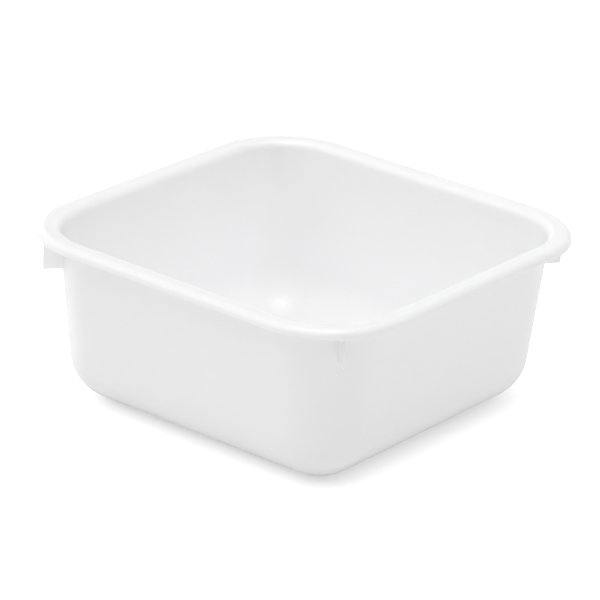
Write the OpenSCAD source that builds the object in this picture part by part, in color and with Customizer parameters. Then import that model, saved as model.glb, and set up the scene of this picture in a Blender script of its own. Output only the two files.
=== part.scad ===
// Square washing up bowl with leaning sides, a domed rim and a stacking lug at each corner.
// Millimetres, +Z up. The origin is on the table, under the middle of the bowl.
// Front is -Y and right is +X.
//
// Every side and corner has the same upright section, drawn once as (r, z): r is the distance
// outwards from the line that joins two corner axes. The section is extruded along the four
// straight sides and turned through 90 degrees about the four corner axes, so sides, rim and
// base blend run on into the corners with no step.

/* [Bowl] */
// Outside width and length across the rim
bowl_w = 320; // [280:1:420]
// Height from the table to the top of the rim
bowl_h = 137; // [110:0.5:180]
// Thickness of the moulding
wall_t = 2; // [1.4:0.1:3.2]
// Lean of the sides from the vertical, in degrees
draft_a = 6; // [1:0.25:10]
// Outside radius of the blend between the sides and the floor
blend_r = 37.5; // [15:0.5:45]
// Plan radius of the floor panel's corners
panel_corner_r = 1.5; // [0.5:0.5:20]
// Width of the flat strip of floor between the floor panel and the blend
floor_strip_w = 1.5; // [0.5:0.5:10]
// Height of the strip of side between the blend and the upper sides
side_strip_h = 1.5; // [0.5:0.5:10]

/* [Rim] */
// Radius of the rim's inner shoulder
shoulder_in_r = 7.5; // [5:0.1:12]
// Flat width on top of the rim
rim_flat_w = 5.1; // [1:0.1:20]
// Radius of the rim's outer shoulder
shoulder_out_r = 6; // [5:0.1:12]
// Height of the upright lip under the outer shoulder
lip_h = 0.7; // [0.7:0.1:12]
// Radius of the lip's two bottom edges
lip_edge_r = 0.5; // [0.2:0.05:0.6]
// Height of the neck of wall that belongs to the rim
neck_h = 4; // [1:0.5:15]

/* [Corner lugs] */
// Thickness of each lug
lug_t = 2; // [1:0.1:4]
// Drop of the lugs' bottom edge below the top of the rim
lug_drop = 31.5; // [18:0.5:60]
// Distance of the lugs' outer edge inside the rim's outer edge
lug_inset = 4.1; // [3.5:0.1:10]
// Turn of each lug from the diagonal, anticlockwise seen from above, in degrees
lug_turn_a = 7.3; // [-30:0.1:30]
// Radius of the lugs' bottom outer corner
lug_corner_r = 1.2; // [0.4:0.1:3]

/* [Foot and gate mark] */
// Height of the foot bead
foot_h = 1; // [0.6:0.1:3]
// Width of the foot bead
foot_w = 4.5; // [3:0.1:10]
// Distance of the foot bead inside the floor panel's edge
foot_inset = 4; // [1:0.5:15]
// Plan radius of the foot bead's outside corners
foot_corner_r = 22; // [12:0.5:35]
// Radius of the bead's two bottom edges
foot_edge_r = 0.5; // [0.2:0.05:0.6]
// Radius of the round recess at the gate mark
gate_r = 9; // [5:0.5:20]
// Depth of the recess
gate_depth = 0.6; // [0.2:0.05:0.8]
// Radius of the gate's cut-off stub
stub_r = 1.6; // [0.8:0.1:3]
// Height of the stub in its recess
stub_h = 0.4; // [0.1:0.05:0.6]

/* [Hidden] */
$fn = 96;

// Section of the sides: the outside line starts where the blend ends
blend_c = [panel_corner_r + floor_strip_w, foot_h + blend_r];
side_out = [cos(draft_a), -sin(draft_a)];
side_start = blend_c + blend_r * side_out;
function out_r(z) = side_start[0] + (z - side_start[1]) * tan(draft_a);
function in_r(z) = out_r(z) - wall_t / cos(draft_a);
blend_top_z = side_start[1] + side_strip_h;

// Section of the rim: the centres of its two shoulders, its edge and its lip
top_in_z = bowl_h - shoulder_in_r;
in_c = [in_r(top_in_z) + shoulder_in_r / cos(draft_a), top_in_z];
out_c = [in_c[0] + rim_flat_w, bowl_h - shoulder_out_r];
rim_r = out_c[0] + shoulder_out_r;
lip_z = out_c[1] - lip_h;
split_z = in_c[1] - neck_h;
rim_low_z = min(split_z, lip_z);
channel_mid_r = (out_r(lip_z) + rim_r - wall_t) / 2;

// Half the distance between two corner axes, to a hundredth of a millimetre, so that the
// straight sides end exactly where the corners start
axis_x = round(100 * (bowl_w / 2 - rim_r)) / 100;

// Lugs
lug_z = bowl_h - lug_drop;
lug_out_r = rim_r - lug_inset;

// How far a cutting shape runs past what it cuts
over = 1;

// Runs a section of (r, z) round the square whose corner axes are at +-a
module run_round(a) {
    for (k = [0:3]) rotate(90 * k) {
        translate([a, a, 0]) rotate_extrude(angle = 90) children();
        translate([a, a, 0]) rotate([90, 0, 0]) linear_extrude(2 * a) children();
    }
}

// Square of the given half width with round corners
module round_square(half, r) {
    square([2 * half, 2 * (half - r)], center = true);
    square([2 * (half - r), 2 * half], center = true);
    for (x = [-1, 1], y = [-1, 1])
        translate([x * (half - r), y * (half - r)]) circle(r);
}

// All that lies inside a surface of the sides, floor and blend. The depth is 0 for the
// outside surface and the wall's thickness for the inside one
module inside_of(depth) {
    r = blend_r - depth;
    start = blend_c + r * side_out;
    end_r = start[0] + (bowl_h - start[1]) * tan(draft_a);
    translate(blend_c) circle(r);
    polygon([[0, blend_c[1] - r], [blend_c[0], blend_c[1] - r], blend_c,
             start, [end_r, bowl_h], [0, bowl_h]]);
}

// Section of the sides, their blend and the flat strip of floor, between two heights
module side_section(low_z, high_z) {
    intersection() {
        difference() {
            inside_of(0);
            inside_of(wall_t);
        }
        translate([panel_corner_r, low_z]) square([rim_r, high_z - low_z]);
    }
}

// All that lies under a surface of the rim, down to a height. The depth is 0 for the upper
// surface and the wall's thickness for the lower one
module under_rim(depth, low_z) {
    r_in = shoulder_in_r - depth;
    r_out = shoulder_out_r - depth;
    side = in_c - r_in * side_out;
    low_r = side[0] - (side[1] - low_z) * tan(draft_a);
    translate(in_c) circle(r_in);
    translate(out_c) circle(r_out);
    polygon([[low_r, low_z], side, in_c, in_c + [0, r_in], out_c + [0, r_out],
             out_c, out_c + [r_out, 0], [rim_r - depth, low_z]]);
}

// Bottom end of an upright strip, with both edges rounded
module round_foot(left, right, low_z, r, top_z) {
    translate([left + r, low_z + r]) circle(r);
    translate([right - r, low_z + r]) circle(r);
    translate([left + r, low_z]) square([right - left - 2 * r, r]);
    translate([left, low_z + r]) square([right - left, top_z - low_z - r]);
}

// Section of the rim: the neck, the dome and the lip
module rim_section() {
    intersection() {
        difference() {
            under_rim(0, rim_low_z - over);
            under_rim(wall_t, rim_low_z - 2 * over);
        }
        union() {
            translate([0, split_z]) square([channel_mid_r, bowl_h - split_z + over]);
            translate([channel_mid_r, out_c[1]])
                square([rim_r - channel_mid_r, shoulder_out_r + over]);
            round_foot(rim_r - wall_t, rim_r, lip_z, lip_edge_r, out_c[1]);
        }
    }
}

// Section of a lug: its outline with one round corner, less the sides and rim that it joins
module lug_section() {
    difference() {
        translate([0, lug_z]) square([lug_out_r, lug_drop]);
        translate([lug_out_r - lug_corner_r, lug_z]) difference() {
            square(lug_corner_r);
            translate([0, lug_corner_r]) circle(lug_corner_r);
        }
        difference() {
            translate([0, lug_z - over]) square([rim_r, lug_drop + 2 * over]);
            under_rim(wall_t, lug_z - 2 * over);
        }
    }
}

// One lug at the corner on side x, y
module lug(x, y) {
    corner_a = atan2(y, x);
    translate([x * axis_x, y * axis_x, 0]) rotate(corner_a + lug_turn_a) intersection() {
        rotate(-45) rotate_extrude(angle = 90) lug_section();
        translate([0, -lug_t / 2, 0]) cube([rim_r, lug_t, bowl_h]);
    }
}

// Section of the foot bead, with r measured from the bead's own corner axes
module foot_section() {
    round_foot(foot_corner_r - foot_w, foot_corner_r, 0, foot_edge_r, foot_h);
}

module base_panel() {
    color("#f4f6f7") difference() {
        translate([0, 0, foot_h]) linear_extrude(wall_t)
            round_square(axis_x + panel_corner_r, panel_corner_r);
        translate([0, 0, foot_h - over]) difference() {
            cylinder(r = gate_r, h = over + gate_depth);
            translate([0, 0, over + gate_depth - stub_h]) cylinder(r = stub_r, h = stub_h);
        }
    }
}

module foot_ring() {
    color("#eef0f2") run_round(axis_x + panel_corner_r - foot_inset - foot_corner_r) foot_section();
}

module base_blend() {
    color("#f4f6f7") run_round(axis_x) side_section(0, blend_top_z);
}

module tub_wall() {
    color("#f4f6f7") run_round(axis_x) side_section(blend_top_z, split_z);
}

module rim_flange() {
    color("#f8f9fa") run_round(axis_x) rim_section();
}

module corner_lug_front_right() {
    color("#eef0f2") lug(1, -1);
}

module corner_lug_front_left() {
    color("#eef0f2") lug(-1, -1);
}

module corner_lug_back_right() {
    color("#eef0f2") lug(1, 1);
}

module corner_lug_back_left() {
    color("#eef0f2") lug(-1, 1);
}

base_panel();
foot_ring();
base_blend();
tub_wall();
rim_flange();
corner_lug_front_right();
corner_lug_front_left();
corner_lug_back_right();
corner_lug_back_left();
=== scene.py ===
"""Looks of the white washing up bowl: its moulded shell, its polypropylene, the studio and the camera."""

import math

import bmesh
import bpy
from mathutils import Matrix, Vector


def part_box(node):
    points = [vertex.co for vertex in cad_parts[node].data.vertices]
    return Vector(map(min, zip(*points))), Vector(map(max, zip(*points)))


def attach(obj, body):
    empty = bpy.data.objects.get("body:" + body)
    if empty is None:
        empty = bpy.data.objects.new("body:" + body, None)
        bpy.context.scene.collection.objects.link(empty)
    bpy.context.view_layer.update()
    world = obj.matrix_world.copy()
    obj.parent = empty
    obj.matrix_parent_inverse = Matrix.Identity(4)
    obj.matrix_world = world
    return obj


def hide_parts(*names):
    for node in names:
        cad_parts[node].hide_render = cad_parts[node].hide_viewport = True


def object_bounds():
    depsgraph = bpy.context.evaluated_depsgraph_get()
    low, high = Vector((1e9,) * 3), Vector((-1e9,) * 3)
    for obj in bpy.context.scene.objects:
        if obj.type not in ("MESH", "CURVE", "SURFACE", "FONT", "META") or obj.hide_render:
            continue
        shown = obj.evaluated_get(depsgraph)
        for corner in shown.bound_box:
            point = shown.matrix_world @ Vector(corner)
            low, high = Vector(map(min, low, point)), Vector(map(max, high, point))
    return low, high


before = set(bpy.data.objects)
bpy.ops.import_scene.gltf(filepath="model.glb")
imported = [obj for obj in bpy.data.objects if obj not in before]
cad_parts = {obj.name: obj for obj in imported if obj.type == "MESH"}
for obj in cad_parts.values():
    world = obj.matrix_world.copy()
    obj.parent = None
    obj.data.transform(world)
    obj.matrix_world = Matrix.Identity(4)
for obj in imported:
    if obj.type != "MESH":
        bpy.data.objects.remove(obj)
cad_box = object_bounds()

# The photograph's view, in metres, degrees and pixels of its 600 x 600 frame
FRAME_PX = 600
CAM_AZIMUTH = 38.044
CAM_ELEVATION = 22.875
CAM_ROLL = 2.80
CAM_DISTANCE = 2.7015
CAM_FOCAL_PX = 3617.3
TARGET = Vector((0, 0, 0.061))
TARGET_PX = (301.624, 320.6)
SENSOR_MM = 36

# Section of the moulding, in metres. r runs outwards from the line that joins two corner axes
WALL_T = 0.002
DRAFT = math.radians(6)
BLEND_R = 0.0375
PANEL_CORNER_R = 0.0015
FLOOR_STRIP_W = 0.0015
FLAT_R = PANEL_CORNER_R + FLOOR_STRIP_W
SHOULDER_IN_R = 0.0075
SHOULDER_OUT_R = 0.006
RIM_FLAT_W = 0.0051
LIP_EDGE_R = 0.0005
BASE_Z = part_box("base_panel")[0].z
RIM_Z = cad_box[1].z
LIP_H = 0.0007
SIDE_OUT = Vector((math.cos(DRAFT), -math.sin(DRAFT)))
BLEND_C = Vector((FLAT_R, BASE_Z + BLEND_R))
SIDE_START = BLEND_C + SIDE_OUT * BLEND_R


def side_r(z, depth):
    """Distance outwards of the sides' surface that lies the given depth inside the outer one."""
    return SIDE_START.x + (z - SIDE_START.y) * math.tan(DRAFT) - depth / math.cos(DRAFT)


SHOULDER_IN_C = Vector((side_r(RIM_Z - SHOULDER_IN_R, WALL_T) + SHOULDER_IN_R / math.cos(DRAFT),
                        RIM_Z - SHOULDER_IN_R))
SHOULDER_OUT_C = Vector((SHOULDER_IN_C.x + RIM_FLAT_W, RIM_Z - SHOULDER_OUT_R))
RIM_R = SHOULDER_OUT_C.x + SHOULDER_OUT_R
LIP_Z = SHOULDER_OUT_C.y - LIP_H
AXIS = cad_box[1].x - RIM_R

# Corner lugs
LUG_HALF_T = 0.001
LUG_DROP = 0.0315
LUG_Z = RIM_Z - LUG_DROP
LUG_INSET = 0.0041
LUG_OUT_R = RIM_R - LUG_INSET
LUG_TURN = 7.3
LUG_ANGLE = 45 + LUG_TURN
LUG_CORNER_R = 0.0012
LUG_ROOT_R = 0.0008
LUG_EDGE_R = 0.0003
LUG_TOP_Z = SHOULDER_OUT_C.y + math.sqrt((SHOULDER_OUT_R - WALL_T) ** 2
                                         - (LUG_OUT_R - SHOULDER_OUT_C.x) ** 2)

# Foot bead, with r measured from its own corner axes
FOOT_R = 0.022
FOOT_W = 0.0045
FOOT_INSET = 0.004
FOOT_AXIS = AXIS + PANEL_CORNER_R - FOOT_INSET - FOOT_R
FOOT_IN_R = FOOT_R - FOOT_W
FOOT_EDGE_R = 0.0005
FOOT_ROOT_R = 0.0003

# Gate mark under the floor, with r measured from the bowl's middle
GATE_R = 0.009
GATE_DEPTH = 0.0006
GATE_TOP_Z = BASE_Z + GATE_DEPTH
STUB_R = 0.0016
STUB_H = 0.0004
STUB_Z = GATE_TOP_Z - STUB_H
GATE_EDGE_R = 0.00015

# The plastic: its two whites, the depth to which light scatters, in metres, its roughness and gloss
WHITE_LOW = (0.948, 0.944, 0.958)
WHITE_HIGH = (0.960, 0.956, 0.970)
SCATTER_M = 0.005
ROUGHNESS = (0.30, 0.42)
GLOSS_WEIGHT = 0.25
GLOSS_ROUGHNESS = 0.12
REFRACTION = 1.49

# Noises over the plastic: waves to the metre and detail, and the part of their range that counts
TONE_NOISE = (12, 3)
ROUGHNESS_NOISE = (45, 5)
RIPPLE_NOISE = (28, 1)
GRAIN_NOISE = (900, 2)
NOISE_LOW, NOISE_HIGH = 0.3, 0.7

# Bumps: strength, and height in metres
RIPPLE = (0.06, 0.0005)
GRAIN = (0.05, 0.00004)

# The table top: half its width in metres, its white and its roughness
FLOOR_HALF = 20
FLOOR_WHITE = 0.9
FLOOR_ROUGHNESS = 0.9

# How much brighter than lit the floor looks, which makes it white in the picture and in reflections
FLOOR_LIFT = {"Is Camera Ray": 0.42, "Is Glossy Ray": 0.12, "Is Transmission Ray": 0.12}

# Steps of the mesh. A hair is a distance that is too small to see
CORNER_STEPS = 32
SIDE_STEPS = 12
ARC_STEPS = 24
SMALL_ARC_STEPS = 5
HAIR = 0.00002
LUG_CLEARANCE = 1.3  # How much wider than a lug the gap in a corner's plain columns is


def arc(centre, r, start, end, outward, steps=ARC_STEPS):
    """Points and normals along an arc of the section, from start to end in degrees."""
    points = []
    for k in range(steps + 1):
        a = math.radians(start + (end - start) * k / steps)
        d = Vector((math.cos(a), math.sin(a)))
        points.append((centre + d * r, d * outward))
    return points


def hollow_fillet(distance, r):
    """How far a hollow fillet stands proud at a distance from the wall that it runs up."""
    return r - math.sqrt(max(0, r ** 2 - (r - distance) ** 2)) if distance < r else 0


def side_rows():
    """Points on the outer side where the lugs' root, bottom and rounded corner need rows."""
    heights = [LUG_Z - LUG_ROOT_R * k / SMALL_ARC_STEPS for k in range(SMALL_ARC_STEPS, 0, -1)]
    heights.append(LUG_Z - HAIR)
    for k in range(SMALL_ARC_STEPS + 1):
        a = math.radians(90 * k / SMALL_ARC_STEPS)
        heights.append(LUG_Z + LUG_CORNER_R * (1 - math.cos(a)))
    return [(Vector((side_r(z, 0), z)), SIDE_OUT) for z in heights]


def gate_section():
    """Points and normals of the round recess and the stub in it, outwards from the middle."""
    e = GATE_EDGE_R
    section = arc(Vector((STUB_R - e, STUB_Z + e)), e, 270, 360, 1, SMALL_ARC_STEPS)
    section += arc(Vector((STUB_R + e, GATE_TOP_Z - e)), e, 180, 90, -1, SMALL_ARC_STEPS)
    section += arc(Vector((GATE_R - e, GATE_TOP_Z - e)), e, 90, 0, -1, SMALL_ARC_STEPS)
    section += arc(Vector((GATE_R + e, BASE_Z + e)), e, 180, 270, 1, SMALL_ARC_STEPS)
    return section


def foot_section():
    """Points and normals of the foot bead, outwards."""
    e, root = FOOT_EDGE_R, FOOT_ROOT_R
    section = arc(Vector((FOOT_IN_R - root, BASE_Z - root)), root, 90, 0, -1, SMALL_ARC_STEPS)
    section += arc(Vector((FOOT_IN_R + e, e)), e, 180, 270, 1, SMALL_ARC_STEPS)
    section += arc(Vector((FOOT_R - e, e)), e, 270, 360, 1, SMALL_ARC_STEPS)
    section += arc(Vector((FOOT_R + root, BASE_Z - root)), root, 180, 90, -1, SMALL_ARC_STEPS)
    return section


def outer_section():
    """Points and normals of the outer side, from the underside up to the inside of the lip."""
    lean = math.degrees(DRAFT)
    section = [(Vector((FLAT_R / 2, BASE_Z)), Vector((0, -1)))]
    section += arc(BLEND_C, BLEND_R, -90, -lean, 1)
    section += side_rows()
    section += arc(SHOULDER_IN_C, SHOULDER_IN_R - WALL_T, 180 - lean, 90, -1)
    section += arc(SHOULDER_OUT_C, SHOULDER_OUT_R - WALL_T, 90, 0, -1)
    return section


def inner_section():
    """Points and normals from the lip over the rim and down the inner side to the floor."""
    lean, e, z = math.degrees(DRAFT), LIP_EDGE_R, LIP_Z + LIP_EDGE_R
    section = arc(Vector((RIM_R - WALL_T + e, z)), e, 180, 270, 1, SMALL_ARC_STEPS)
    section += arc(Vector((RIM_R - e, z)), e, 270, 360, 1, SMALL_ARC_STEPS)
    section += arc(SHOULDER_OUT_C, SHOULDER_OUT_R, 0, 90, 1)
    section += arc(SHOULDER_IN_C, SHOULDER_IN_R, 90, 180 - lean, 1)
    section += arc(BLEND_C, BLEND_R - WALL_T, -lean, -90, -1)
    section.append((Vector((FLAT_R / 2, BASE_Z + WALL_T)), Vector((0, 1))))
    return section


def lug_outline(point):
    """Where a lug's edge lies in the row of a section point, or None if the row misses the lugs."""
    r, z = point
    if r >= LUG_OUT_R or z < LUG_Z - LUG_ROOT_R:
        return None
    if z < LUG_Z:
        return Vector((r + hollow_fillet(LUG_Z - z, LUG_ROOT_R), z))
    rise = min(z - LUG_Z, LUG_CORNER_R)
    corner = LUG_CORNER_R - math.sqrt(LUG_CORNER_R ** 2 - (LUG_CORNER_R - rise) ** 2)
    return Vector((LUG_OUT_R - corner, min(z, LUG_TOP_Z)))


def lug_offsets():
    """Distances of the mesh's columns from a lug's middle plane, across the lug and its roots."""
    half = [LUG_HALF_T + LUG_ROOT_R * k / SMALL_ARC_STEPS for k in range(SMALL_ARC_STEPS, 0, -1)]
    half += [LUG_HALF_T + HAIR, LUG_HALF_T, LUG_HALF_T - LUG_EDGE_R / 3, LUG_HALF_T - LUG_EDGE_R]
    return [-u for u in half] + [0] + half[::-1]


def round_the_square():
    """Corner axis, angle and offset from a lug of each column round the bowl, seen from above."""
    columns = []
    lug_reach = math.degrees((LUG_HALF_T + LUG_ROOT_R) / side_r(LUG_Z, 0))
    for corner in range(4):
        turn = corner * 90
        axis = Matrix.Rotation(math.radians(turn), 2) @ Vector((AXIS, AXIS))
        next_axis = Matrix.Rotation(math.radians(turn + 90), 2) @ Vector((AXIS, AXIS))
        before, after = [], []
        for k in range(CORNER_STEPS + 1):
            a = 90 * k / CORNER_STEPS
            if abs(a - LUG_ANGLE) > lug_reach * LUG_CLEARANCE:
                (before if a < LUG_ANGLE else after).append((axis, turn + a, None))
        columns += before
        columns += [(axis, turn + LUG_ANGLE, u) for u in lug_offsets()]
        columns += after
        for k in range(1, SIDE_STEPS):
            columns.append((axis.lerp(next_axis, k / SIDE_STEPS), turn + 90, None))
    return columns


def stand(column, r):
    """Corner axis and direction outwards of a column. Beside a lug it turns with the distance."""
    axis, angle, offset = column
    a = math.radians(angle) + (math.asin(offset / max(r, SIDE_START.x)) if offset else 0)
    return axis, Vector((math.cos(a), math.sin(a)))


def place(point, normal, column):
    """Position and normal in space of a section point in a column."""
    axis, out = stand(column, point.x)
    return (*(axis + out * point.x), point.y), (*(out * normal.x), normal.y)


def place_foot(point, normal, column):
    """The same for a point of the foot bead, which has its own corner axes."""
    axis, out = stand(column, 0)
    return (*(axis * (FOOT_AXIS / AXIS) + out * point.x), point.y), (*(out * normal.x), normal.y)


def place_gate(point, normal, column):
    """The same for a point of the gate mark, which is round."""
    axis, out = stand(column, 0)
    out = (axis + out * FLAT_R).normalized()
    return (*(out * point.x), point.y), (*(out * normal.x), normal.y)


def place_outer(point, normal, column):
    """The same for a point of the outer side, which the lugs stand on. They have no normal set."""
    axis, angle, offset = column
    edge = lug_outline(point)
    if offset is None or edge is None:
        return place(point, normal, column)
    turn = math.asin(offset / max(point.x, SIDE_START.x))
    a = math.radians(angle)
    out, along = Vector((math.cos(a), math.sin(a))), Vector((-math.sin(a), math.cos(a)))
    reach, height, u = point.x * math.cos(turn), point.y, abs(offset)
    if u > LUG_HALF_T:
        reach = min(edge.x, reach + hollow_fillet(u - LUG_HALF_T, LUG_ROOT_R))
    else:
        inside = min(1, (LUG_HALF_T - u) / LUG_EDGE_R)
        reach = max(reach, edge.x - LUG_EDGE_R * (1 - math.sqrt(1 - (1 - inside) ** 2)))
        height = edge.y
    return (*(axis + out * reach + along * offset), height), (0, 0, 0)


def add_object(name, data):
    """An object with the given mesh, camera or lamp, in the scene."""
    item = bpy.data.objects.new(name, data)
    bpy.context.scene.collection.objects.link(item)
    return item


def make_shell():
    """The whole moulding in one closed skin: floor, foot, blend, sides, rim and lugs."""
    columns = round_the_square()
    mesh_data, rings = bmesh.new(), []
    outwards = mesh_data.verts.layers.float_vector.new("outward")
    for section, placed in ((gate_section(), place_gate), (foot_section(), place_foot),
                            (outer_section(), place_outer), (inner_section(), place)):
        for point, normal in section:
            ring = []
            for column in columns:
                position, outward = placed(point, normal, column)
                ring.append(mesh_data.verts.new(position))
                ring[-1][outwards] = outward
            rings.append(ring)
    for low, high in zip(rings, rings[1:]):
        for k in range(len(columns)):
            mesh_data.faces.new((low[k - 1], low[k], high[k], high[k - 1])).smooth = True
    mesh_data.faces.new(list(reversed(rings[0]))).smooth = True
    mesh_data.faces.new(rings[-1]).smooth = True
    bmesh.ops.remove_doubles(mesh_data, verts=mesh_data.verts, dist=HAIR / 10)
    normals = [tuple(vertex[outwards]) for vertex in mesh_data.verts]
    mesh_data.verts.layers.float_vector.remove(outwards)
    mesh = bpy.data.meshes.new("bowl_shell")
    mesh_data.to_mesh(mesh)
    mesh_data.free()
    mesh.normals_split_custom_set_from_vertices(normals)
    shell = add_object("bowl_shell", mesh)
    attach(shell, "root")
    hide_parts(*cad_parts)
    return shell


def make_camera():
    """Stands where the photographer stood and turns until the target lies at its pixel."""
    az, el, roll = (math.radians(a) for a in (CAM_AZIMUTH, CAM_ELEVATION, CAM_ROLL))
    back = Vector((math.sin(az) * math.cos(el), -math.cos(az) * math.cos(el), math.sin(el)))
    right = (-back).cross(Vector((0, 0, 1))).normalized()
    up = right.cross(-back)
    right, up = (right * math.cos(roll) + up * math.sin(roll),
                 up * math.cos(roll) - right * math.sin(roll))
    aim_x = (FRAME_PX / 2 - TARGET_PX[0]) / CAM_FOCAL_PX
    aim_y = (TARGET_PX[1] - FRAME_PX / 2) / CAM_FOCAL_PX
    z_axis = -(-back + right * aim_x + up * aim_y).normalized()
    x_axis = (right - z_axis * right.dot(z_axis)).normalized()
    y_axis = z_axis.cross(x_axis)
    data = bpy.data.cameras.new("camera")
    data.sensor_width = SENSOR_MM
    data.lens = SENSOR_MM * CAM_FOCAL_PX / FRAME_PX
    camera = add_object("camera", data)
    rotation = Matrix((x_axis, y_axis, z_axis)).transposed().to_4x4()
    camera.matrix_world = Matrix.Translation(TARGET + back * CAM_DISTANCE) @ rotation
    bpy.context.scene.camera = camera


def add_noise(tree, coordinates, waves):
    """A noise over the object's own coordinates, with the given waves to the metre and detail."""
    noise = tree.nodes.new("ShaderNodeTexNoise")
    noise.inputs["Scale"].default_value, noise.inputs["Detail"].default_value = waves
    tree.links.new(coordinates, noise.inputs["Vector"])
    return noise.outputs["Fac"]


def add_bump(tree, height, size, under=None):
    """Raises the surface by a noise, on top of another bump if there is one."""
    bump = tree.nodes.new("ShaderNodeBump")
    bump.inputs["Strength"].default_value, bump.inputs["Distance"].default_value = size
    tree.links.new(height, bump.inputs["Height"])
    if under is not None:
        tree.links.new(under, bump.inputs["Normal"])
    return bump.outputs["Normal"]


def make_polypropylene(name):
    """White semi-gloss polypropylene: light scatters in it, and the mould left it uneven."""
    material = bpy.data.materials.new(name)
    material.use_nodes = True
    tree = material.node_tree
    shader = tree.nodes["Principled BSDF"]
    shader.inputs["IOR"].default_value = REFRACTION
    shader.inputs["Coat Weight"].default_value = GLOSS_WEIGHT
    shader.inputs["Coat Roughness"].default_value = GLOSS_ROUGHNESS
    shader.inputs["Subsurface Weight"].default_value = 1
    shader.inputs["Subsurface Radius"].default_value = (1, 1, 1)
    shader.inputs["Subsurface Scale"].default_value = SCATTER_M
    coordinates = tree.nodes.new("ShaderNodeTexCoord").outputs["Object"]

    tone = tree.nodes.new("ShaderNodeValToRGB")
    low, high = tone.color_ramp.elements
    low.position, low.color = NOISE_LOW, (*WHITE_LOW, 1)
    high.position, high.color = NOISE_HIGH, (*WHITE_HIGH, 1)
    tree.links.new(add_noise(tree, coordinates, TONE_NOISE), tone.inputs["Fac"])
    tree.links.new(tone.outputs["Color"], shader.inputs["Base Color"])

    rough = tree.nodes.new("ShaderNodeMapRange")
    rough.inputs["From Min"].default_value = NOISE_LOW
    rough.inputs["From Max"].default_value = NOISE_HIGH
    rough.inputs["To Min"].default_value, rough.inputs["To Max"].default_value = ROUGHNESS
    tree.links.new(add_noise(tree, coordinates, ROUGHNESS_NOISE), rough.inputs["Value"])
    tree.links.new(rough.outputs["Result"], shader.inputs["Roughness"])

    ripple = add_bump(tree, add_noise(tree, coordinates, RIPPLE_NOISE), RIPPLE)
    grain = add_bump(tree, add_noise(tree, coordinates, GRAIN_NOISE), GRAIN, ripple)
    tree.links.new(grain, shader.inputs["Normal"])
    return material


def make_floor():
    """A plain white table top that runs past every edge of the picture."""
    mesh = bpy.data.meshes.new("floor")
    mesh.from_pydata([(-FLOOR_HALF, -FLOOR_HALF, 0), (FLOOR_HALF, -FLOOR_HALF, 0),
                      (FLOOR_HALF, FLOOR_HALF, 0), (-FLOOR_HALF, FLOOR_HALF, 0)],
                     [], [(0, 1, 2, 3)])
    floor = add_object("floor", mesh)
    material = bpy.data.materials.new("floor")
    material.use_nodes = True
    tree = material.node_tree
    shader = tree.nodes["Principled BSDF"]
    shader.inputs["Base Color"].default_value = (FLOOR_WHITE, FLOOR_WHITE, FLOOR_WHITE, 1)
    shader.inputs["Roughness"].default_value = FLOOR_ROUGHNESS
    shader.inputs["Emission Color"].default_value = (1, 1, 1, 1)
    rays = tree.nodes.new("ShaderNodeLightPath").outputs
    lift = None
    for kind, amount in FLOOR_LIFT.items():
        step = tree.nodes.new("ShaderNodeMath")
        step.operation = "MULTIPLY_ADD"
        tree.links.new(rays[kind], step.inputs[0])
        step.inputs[1].default_value, step.inputs[2].default_value = amount, 0
        if lift is not None:
            tree.links.new(lift, step.inputs[2])
        lift = step.outputs["Value"]
    tree.links.new(lift, shader.inputs["Emission Strength"])
    material.cycles.emission_sampling = "NONE"
    mesh.materials.append(material)
    floor.visible_shadow = False  # So that the lamp under the table reaches the bowl


def add_sun(name, azimuth, elevation, strength, width):
    """A soft lamp far away. Azimuth is where it stands, from +X towards +Y. Angles in degrees."""
    data = bpy.data.lights.new(name, "SUN")
    data.energy = strength
    data.angle = math.radians(width)
    lamp = add_object(name, data)
    az, el = math.radians(azimuth), math.radians(elevation)
    stands = Vector((math.cos(az) * math.cos(el), math.sin(az) * math.cos(el), math.sin(el)))
    lamp.rotation_euler = stands.to_track_quat("Z", "Y").to_euler()


def make_world(strength):
    """Even white light from every side."""
    world = bpy.data.worlds.new("studio")
    bpy.context.scene.world = world
    world.use_nodes = True
    world.node_tree.nodes["Background"].inputs["Color"].default_value = (1, 1, 1, 1)
    world.node_tree.nodes["Background"].inputs["Strength"].default_value = strength


make_camera()
make_shell().data.materials.append(make_polypropylene("polypropylene"))
make_floor()
make_world(0.338)
add_sun("top", 0, 90, 1.06, 40)
add_sun("left", 175, 4, 0.90, 80)
add_sun("left_front", 230, 46, 0.49, 45)
add_sun("front", 298, 52, 0.27, 45)
add_sun("key", 326, 75, 0.16, 8)
add_sun("right", 15, 60, 0.20, 45)
add_sun("back", 90, 2, 0.58, 80)
add_sun("table", 0, -60, 0.145, 90)

bpy.context.scene.view_settings.view_transform = "Standard"
